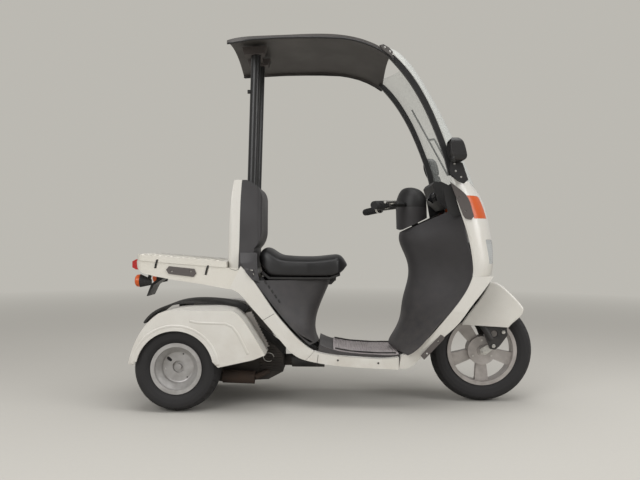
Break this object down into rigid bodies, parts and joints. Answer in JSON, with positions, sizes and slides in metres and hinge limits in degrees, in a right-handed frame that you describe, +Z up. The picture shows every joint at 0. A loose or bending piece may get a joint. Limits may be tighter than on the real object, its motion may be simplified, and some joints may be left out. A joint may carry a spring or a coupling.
{
  "type": "three-wheel delivery scooter with roof",
  "caption": "Three-wheel delivery scooter with a windscreen, roof, low step-through floor and a flat load deck behind the seat; the rear axle unit tilts against the body.",
  "frame": {"origin": "on the ground under the middle of the overall length and width", "axes": "+X forward, +Y to the rider's left, +Z up"},
  "size_m": [1.895, 0.784, 1.6889],
  "materials": {
    "white": "gloss",
    "dark_grey": "grained",
    "roof_grey": "matte",
    "black_plastic": "matte",
    "black_steel": "gloss",
    "bracket_grey": "matte",
    "clear_screen": "clear",
    "lamp_lens": "ribbed",
    "reflector": "polished",
    "orange_lens": "gloss",
    "red_lens": "gloss",
    "mirror_shell": "satin",
    "mat": "ribbed",
    "vinyl": "smooth vinyl",
    "grip_rubber": "ribbed",
    "bright_steel": "bright",
    "cast_wheel": "satin",
    "steel_wheel": "satin",
    "tyre": "matte",
    "engine_metal": "dirty casting",
    "muffler_steel": "heat-worn",
    "deck_white": "gloss",
    "fork_black": "painted"
  },
  "bodies": {
    "body": {"frame": "black_steel", "floor_board": "dark_grey", "floor_mat": "mat", "floor_skirts": "white", "rear_panels": "white", "front_cowl": "white", "headlamp_lenses": "lamp_lens", "headlamp_shells": "reflector", "front_indicator_lenses": "orange_lens", "leg_shield_wings": "white", "inner_shield": "dark_grey", "meter_hood": "black_plastic", "cowl_plates": "bracket_grey", "step_plates": "bracket_grey", "deck_plates": "bracket_grey", "front_pillars": "black_steel", "rear_pillars": "black_steel", "roof": "roof_grey", "roof_brackets": "bracket_grey", "windscreen": "clear_screen", "wiper": "black_plastic", "mirror_mounts": "black_plastic", "mirrors": "mirror_shell", "seat_box": "dark_grey", "fuel_tank": "black_steel", "backrest": "dark_grey", "back_cover": "white", "deck_top": "deck_white", "deck_body": "deck_white", "rear_indicators": "black_plastic", "rear_indicator_lenses": "orange_lens", "plate_bracket": "black_steel", "tail_lamp": "red_lens"},
    "seat": {"seat_pan": "black_plastic", "seat_cushion": "vinyl"},
    "steering": {"fork": "fork_black", "fork_links": "bright_steel", "front_fender": "white", "handlebar": "black_steel", "grips": "grip_rubber", "brake_levers": "bright_steel", "bar_cover": "black_plastic", "bar_cover_low": "dark_grey"},
    "front_wheel": {"front_rim": "cast_wheel", "front_tyre": "tyre"},
    "rear_unit": {"engine": "engine_metal", "muffler": "muffler_steel", "rear_fenders": "white", "fender_stays": "black_steel", "centre_fender": "black_plastic"},
    "rear_wheel_right": {"rear_rim_right": "steel_wheel", "rear_tyre_right": "tyre"},
    "rear_wheel_left": {"rear_rim_left": "steel_wheel", "rear_tyre_left": "tyre"}
  },
  "joints": [
    {"name": "steering_turn", "type": "hinge", "parent": "body", "child": "steering", "pos_m": [0.358, 0, 0.905], "axis": [-0.4226, 0, 0.9063], "range_deg": [-40, 40]},
    {"name": "front_wheel_spin", "type": "hinge", "parent": "steering", "child": "front_wheel", "pos_m": [0.7055, 0, 0.242], "axis": [0, 1, 0], "continuous": true},
    {"name": "seat_lift", "type": "hinge", "parent": "body", "child": "seat", "pos_m": [0.002, 0, 0.574], "axis": [0, 1, 0], "range_deg": [0, 60]},
    {"name": "rear_unit_tilt", "type": "hinge", "parent": "body", "child": "rear_unit", "pos_m": [-0.13, 0, 0.186], "axis": [1, 0, 0], "range_deg": [-15, 15]},
    {"name": "rear_wheel_right_spin", "type": "hinge", "parent": "rear_unit", "child": "rear_wheel_right", "pos_m": [-0.6895, -0.232, 0.191], "axis": [0, 1, 0], "continuous": true},
    {"name": "rear_wheel_left_spin", "type": "hinge", "parent": "rear_unit", "child": "rear_wheel_left", "pos_m": [-0.6895, 0.232, 0.191], "axis": [0, 1, 0], "continuous": true}
  ]
}
